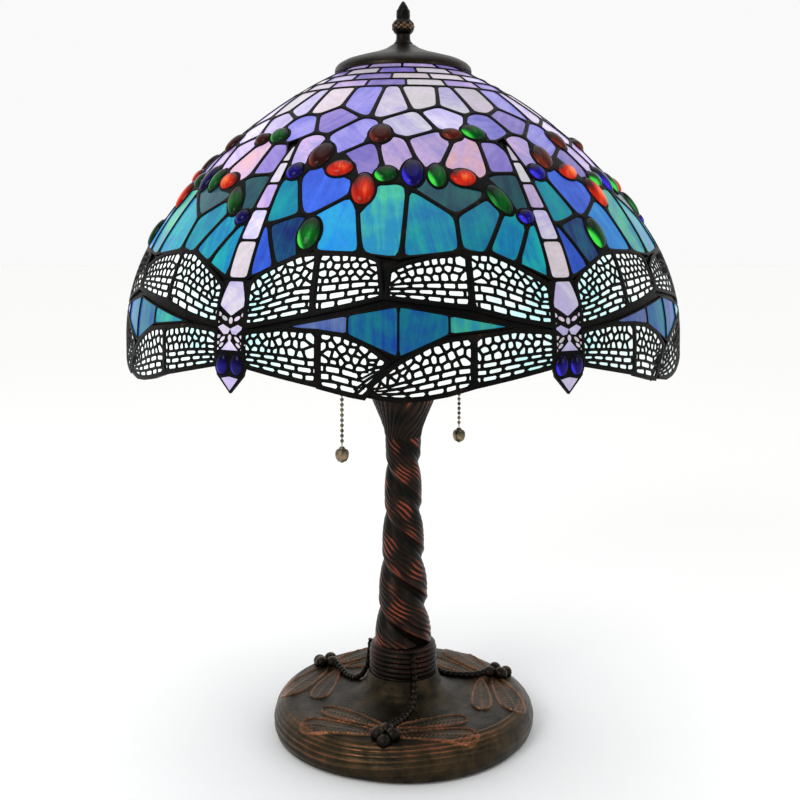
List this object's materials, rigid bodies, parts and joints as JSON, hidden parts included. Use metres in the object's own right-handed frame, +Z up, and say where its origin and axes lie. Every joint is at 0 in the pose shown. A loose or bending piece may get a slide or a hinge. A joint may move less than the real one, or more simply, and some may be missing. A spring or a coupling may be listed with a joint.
{
  "type": "stained glass table lamp",
  "caption": "Table lamp: domed leaded-glass dragonfly shade with jewels on a twisted bronze column and round relief base, pull-chain sockets, screwed finial.",
  "frame": {"origin": "on the table under the middle of the base, at the felt's underside", "axes": "+Z up along the column and riser; the front, where two wing tips meet, faces -Y; the cord's bushing is at the back, +Y"},
  "size_m": [0.458, 0.458, 0.619],
  "materials": {
    "bronze": "antiqued dark bronze, reddish where rubbed",
    "bronze_hardware": "dark patina, semi-gloss",
    "aged_brass": "antique brass, satin",
    "steel": "zinc-plated steel",
    "iron": "raw casting",
    "felt": "dark green felt",
    "black_plastic": "moulded",
    "porcelain": "glazed",
    "bulb_glass": "frosted white",
    "dome_glass": "opalescent, streaky lavender over blue and teal",
    "brick_glass": "opalescent pale lavender",
    "wing_glass": "opalescent white under metal filigree",
    "body_glass": "opalescent lavender and rose",
    "jewel_red": "pressed cabochon",
    "jewel_green": "pressed cabochon",
    "jewel_blue": "pressed cabochon",
    "lead_came": "soldered copper foil with a black patina"
  },
  "bodies": {
    "root": {"felt_pad": "felt", "base_casting": "bronze", "base_weight": "iron", "base_washer": "steel", "base_nut": "steel", "cord_bushing": "black_plastic", "foot_collar": "bronze", "twisted_stem": "bronze", "column_crown": "bronze", "threaded_pipe": "steel", "crown_lock_nut": "steel", "cluster_body": "bronze_hardware", "cluster_cover": "bronze_hardware", "riser_rod": "steel", "seat_lock_nut": "steel", "shade_seat": "bronze_hardware", "socket_nipple_a": "steel", "socket_cap_a": "aged_brass", "socket_shell_a": "aged_brass", "socket_insulator_a": "porcelain", "chain_guide_a": "aged_brass", "socket_nipple_b": "steel", "socket_cap_b": "aged_brass", "socket_shell_b": "aged_brass", "socket_insulator_b": "porcelain", "chain_guide_b": "aged_brass"},
    "shade": {"aperture_ring": "aged_brass", "brick_glass_band": "brick_glass", "vase_cap": "bronze_hardware", "dome_glass_panel_1": "dome_glass", "wing_glass_panel_1": "wing_glass", "dragonfly_body_1": "body_glass", "dome_glass_panel_2": "dome_glass", "wing_glass_panel_2": "wing_glass", "dragonfly_body_2": "body_glass", "dome_glass_panel_3": "dome_glass", "wing_glass_panel_3": "wing_glass", "dragonfly_body_3": "body_glass", "dome_glass_panel_4": "dome_glass", "wing_glass_panel_4": "wing_glass", "dragonfly_body_4": "body_glass", "dome_glass_panel_5": "dome_glass", "wing_glass_panel_5": "wing_glass", "dragonfly_body_5": "body_glass", "dome_glass_panel_6": "dome_glass", "wing_glass_panel_6": "wing_glass", "dragonfly_body_6": "body_glass"},
    "finial": {"finial": "bronze_hardware"},
    "bulb_a": {"bulb_glass_a": "bulb_glass", "bulb_cap_a": "steel"},
    "pull_a": {"pull_link_a": "aged_brass"},
    "chain_a": {"bead_chain_a": "aged_brass", "chain_bell_a": "aged_brass"},
    "bulb_b": {"bulb_glass_b": "bulb_glass", "bulb_cap_b": "steel"},
    "pull_b": {"pull_link_b": "aged_brass"},
    "chain_b": {"bead_chain_b": "aged_brass", "chain_bell_b": "aged_brass"}
  },
  "joints": [
    {"name": "shade_turn", "type": "hinge", "parent": "root", "child": "shade", "pos_m": [0, 0, 0.5625], "axis": [0, 0, 1], "continuous": true},
    {"name": "finial_turn", "type": "hinge", "parent": "root", "child": "finial", "pos_m": [0, 0, 0.59], "axis": [0, 0, 1], "continuous": true},
    {"name": "bulb_a_screw", "type": "hinge", "parent": "root", "child": "bulb_a", "pos_m": [0, 0, 0.313], "axis": [-0.6788, -0.6005, 0.4226], "range_deg": [0, 900]},
    {"name": "pull_a", "type": "slide", "parent": "root", "child": "pull_a", "axis": [0, 0, -1], "range_m": [0, 0.012], "stiffness_N_per_m": 60, "springref_m": -0.02},
    {"name": "chain_a_swing", "type": "hinge", "parent": "pull_a", "child": "chain_a", "pos_m": [-0.04943, -0.04373, 0.3122], "axis": [0.6626, -0.749, 0], "range_deg": [-25, 25]},
    {"name": "bulb_b_screw", "type": "hinge", "parent": "root", "child": "bulb_b", "pos_m": [0, 0, 0.313], "axis": [0.6788, 0.6005, 0.4226], "range_deg": [0, 900]},
    {"name": "pull_b", "type": "slide", "parent": "root", "child": "pull_b", "axis": [0, 0, -1], "range_m": [0, 0.012], "stiffness_N_per_m": 60, "springref_m": -0.02},
    {"name": "chain_b_swing", "type": "hinge", "parent": "pull_b", "child": "chain_b", "pos_m": [0.04943, 0.04373, 0.3122], "axis": [-0.6626, 0.749, 0], "range_deg": [-25, 25]}
  ]
}
